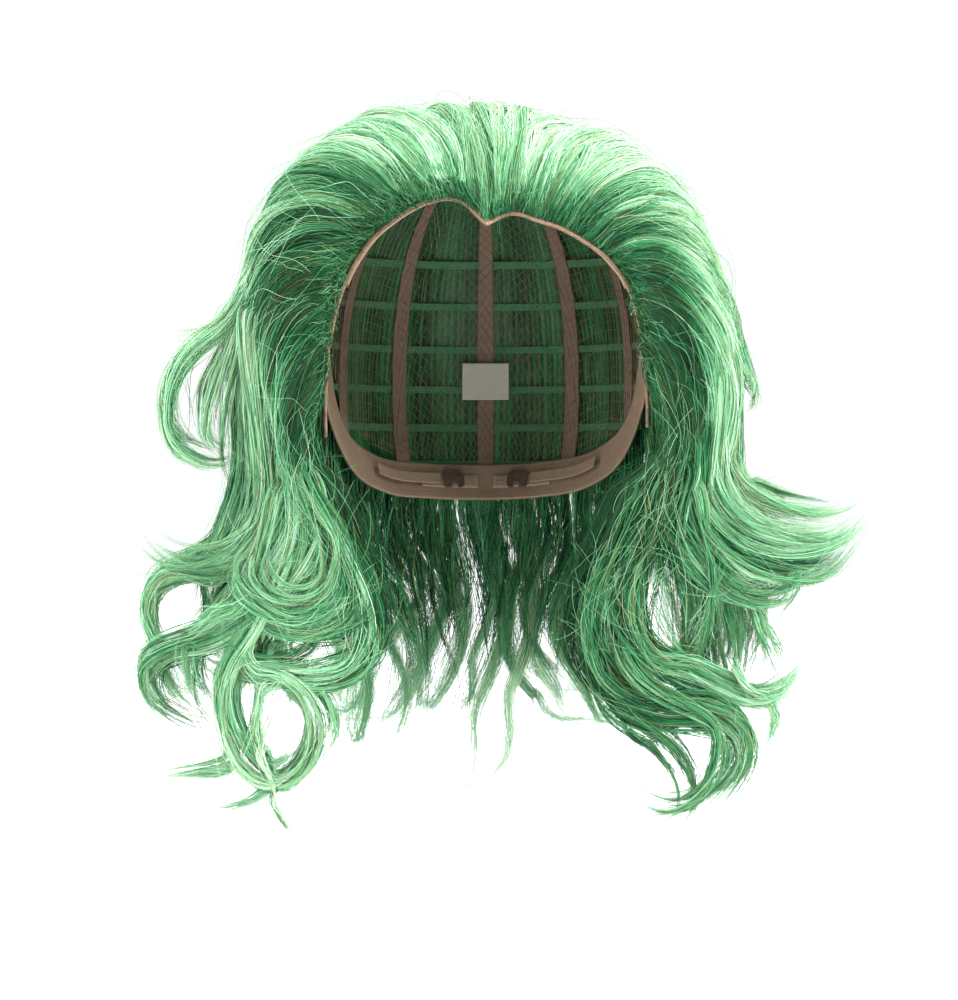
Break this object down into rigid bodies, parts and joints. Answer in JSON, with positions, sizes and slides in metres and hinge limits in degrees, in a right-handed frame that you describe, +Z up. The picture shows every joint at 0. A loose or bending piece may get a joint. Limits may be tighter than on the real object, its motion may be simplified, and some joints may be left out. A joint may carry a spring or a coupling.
{
  "type": "costume wig",
  "caption": "Shoulder-length swept-back costume wig with loose outward-flipping curls, on an open wefted stretch cap with ear tabs and nape adjusters.",
  "frame": {"origin": "middle of the flat inside face at the top of the cap, where it rests on a head", "axes": "+Z up, the face opening looks along -Y, +X is the wearer's left-hand side, which is on the right of a viewer facing the wig"},
  "size_m": [0.3326, 0.2375, 0.3366],
  "materials": {
    "hair": "soft synthetic fibre, mid green with mint highlights, dark green shadows and a few olive-gold strands",
    "net": "brown stretch net",
    "lace": "thin brown lace",
    "lining": "soft tan lining",
    "elastic": "ribbed elastic",
    "ribbon": "flat woven elastic",
    "weft": "machine-sewn hair weft",
    "stay": "thin flexible boning",
    "hook": "small moulded hook",
    "tag": "blank woven tag"
  },
  "bodies": {
    "cap": {"crown_net": "net", "hairline_band": "lace", "hairline_lining": "lining", "left_side_net": "net", "right_side_net": "net", "back_net": "net", "nape_band": "elastic", "cap_ribbon_1": "ribbon", "cap_ribbon_2": "ribbon", "cap_ribbon_3": "ribbon", "cap_ribbon_4": "ribbon", "cap_ribbon_5": "ribbon", "weft_row_1": "weft", "weft_row_2": "weft", "weft_row_3": "weft", "weft_row_4": "weft", "weft_row_5": "weft", "weft_row_6": "weft", "hairline_weft_1": "weft", "hairline_weft_2": "weft", "left_hook_loops": "lining", "right_hook_loops": "lining", "left_adjuster_strap": "elastic", "right_adjuster_strap": "elastic", "size_tag": "tag", "crown_hair": "hair", "front_hair_left": "hair", "front_hair_right": "hair", "upper_side_hair_left": "hair", "upper_side_hair_right": "hair", "upper_back_hair_left": "hair", "upper_back_hair_right": "hair"},
    "left_ear_tab": {"left_ear_tab": "lace", "left_ear_stay": "stay"},
    "right_ear_tab": {"right_ear_tab": "lace", "right_ear_stay": "stay"},
    "left_adjuster": {"left_adjuster_hook": "hook"},
    "right_adjuster": {"right_adjuster_hook": "hook"},
    "left_side_hair": {"side_hair_left_front": "hair", "side_hair_left_rear": "hair", "curl_left_temple": "hair", "curl_left_flick": "hair", "curl_left_upper_loop": "hair", "curl_left_lower_loop": "hair", "curl_left_hem": "hair", "curl_left_tail": "hair"},
    "right_side_hair": {"side_hair_right_front": "hair", "side_hair_right_rear": "hair", "curl_right_flick": "hair", "curl_right_inner": "hair", "curl_right_lower_flick": "hair", "curl_right_hem": "hair", "curl_right_tail": "hair"},
    "back_hair": {"back_hair_left": "hair", "back_hair_centre": "hair", "back_hair_right": "hair", "curl_back_left": "hair", "curl_back_centre": "hair", "curl_back_right": "hair"}
  },
  "joints": [
    {"name": "left_ear_tab_bend", "type": "hinge", "parent": "cap", "child": "left_ear_tab", "pos_m": [-0.07445, -0.01577, -0.08447], "axis": [-0.1515, 0.9885, 0], "range_deg": [-25, 8], "stiffness_Nm_per_rad": 0.05},
    {"name": "right_ear_tab_bend", "type": "hinge", "parent": "cap", "child": "right_ear_tab", "pos_m": [0.07445, -0.01577, -0.08447], "axis": [-0.1515, -0.9885, 0], "range_deg": [-25, 8], "stiffness_Nm_per_rad": 0.05},
    {"name": "left_adjuster_slide", "type": "slide", "parent": "cap", "child": "left_adjuster", "axis": [0.9738, 0.2276, 0], "range_m": [-0.006, 0.007], "deforming": ["left_adjuster_strap"]},
    {"name": "right_adjuster_slide", "type": "slide", "parent": "cap", "child": "right_adjuster", "axis": [-0.9738, 0.2276, 0], "range_m": [-0.006, 0.007], "deforming": ["right_adjuster_strap"]},
    {"name": "left_side_hair_swing", "type": "hinge", "parent": "cap", "child": "left_side_hair", "pos_m": [-0.122, 0, -0.072], "axis": [0, 1, 0], "range_deg": [0, 18], "stiffness_Nm_per_rad": 2},
    {"name": "right_side_hair_swing", "type": "hinge", "parent": "cap", "child": "right_side_hair", "pos_m": [0.122, 0, -0.072], "axis": [0, -1, 0], "range_deg": [0, 18], "stiffness_Nm_per_rad": 2},
    {"name": "back_hair_swing", "type": "hinge", "parent": "cap", "child": "back_hair", "pos_m": [0, 0.144, -0.1], "axis": [1, 0, 0], "range_deg": [0, 18], "stiffness_Nm_per_rad": 2}
  ]
}
